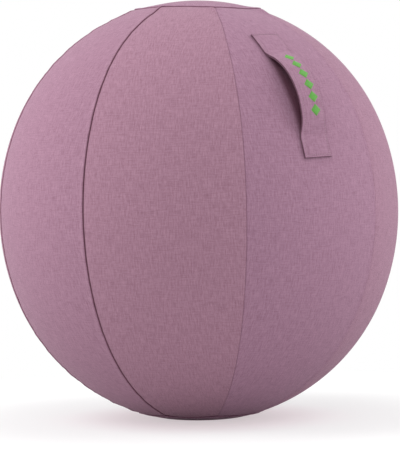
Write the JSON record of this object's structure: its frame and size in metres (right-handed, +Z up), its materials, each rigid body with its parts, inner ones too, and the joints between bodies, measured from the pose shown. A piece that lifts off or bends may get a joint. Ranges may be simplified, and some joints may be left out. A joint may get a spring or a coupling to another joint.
{
  "type": "balance ball chair",
  "caption": "Round inflated sitting ball in a sewn cloth cover with upright gores, crown and base panels, a carrying strap and a rear zip.",
  "frame": {"origin": "on the floor under the middle of the ball", "axes": "+Z up through the crown, -Y towards the carrying strap, +X to the right seen from the strap's side"},
  "size_m": [0.628, 0.628, 0.6572],
  "materials": {
    "cover_cloth": "matte",
    "inner_cloth": "matte",
    "webbing": "matte",
    "bladder_vinyl": "satin",
    "valve_plastic": "satin",
    "zip_tape": "matte",
    "zip_teeth": "satin",
    "zip_metal": "satin"
  },
  "bodies": {
    "ball": {"panel_front": "cover_cloth", "panel_front_right": "cover_cloth", "panel_right": "cover_cloth", "panel_back_right": "cover_cloth", "panel_back": "cover_cloth", "panel_back_left": "cover_cloth", "panel_left": "cover_cloth", "panel_front_left": "cover_cloth", "top_panel": "cover_cloth", "base_panel": "cover_cloth", "handle_strap": "cover_cloth", "handle_lining": "cover_cloth", "handle_patch_upper": "inner_cloth", "handle_patch_lower": "inner_cloth", "zip_guard": "inner_cloth", "handle_core": "webbing", "bladder": "bladder_vinyl", "valve_seat": "valve_plastic", "valve_plug": "valve_plastic", "zip_tape_left": "zip_tape", "zip_tape_right": "zip_tape", "zip_teeth_left": "zip_teeth", "zip_teeth_right": "zip_teeth", "zip_stop_left": "zip_metal", "zip_stop_right": "zip_metal", "zip_end_stop": "zip_metal"},
    "slider": {"zip_slider": "zip_metal"},
    "pull": {"zip_pull": "zip_metal"}
  },
  "joints": [
    {"name": "zip_slide", "type": "hinge", "parent": "ball", "child": "slider", "pos_m": [-0.02028, -0.04897, 0.32598], "axis": [0.9239, -0.3827, 0], "range_deg": [0, 38.5], "deforming": ["zip_teeth_left", "zip_teeth_right", "zip_tape_left", "zip_tape_right"]},
    {"name": "pull_swing", "type": "hinge", "parent": "slider", "child": "pull", "pos_m": [0.11293, 0.27264, 0.20133], "axis": [0.9239, -0.3827, 0], "range_deg": [-18, 150]}
  ]
}
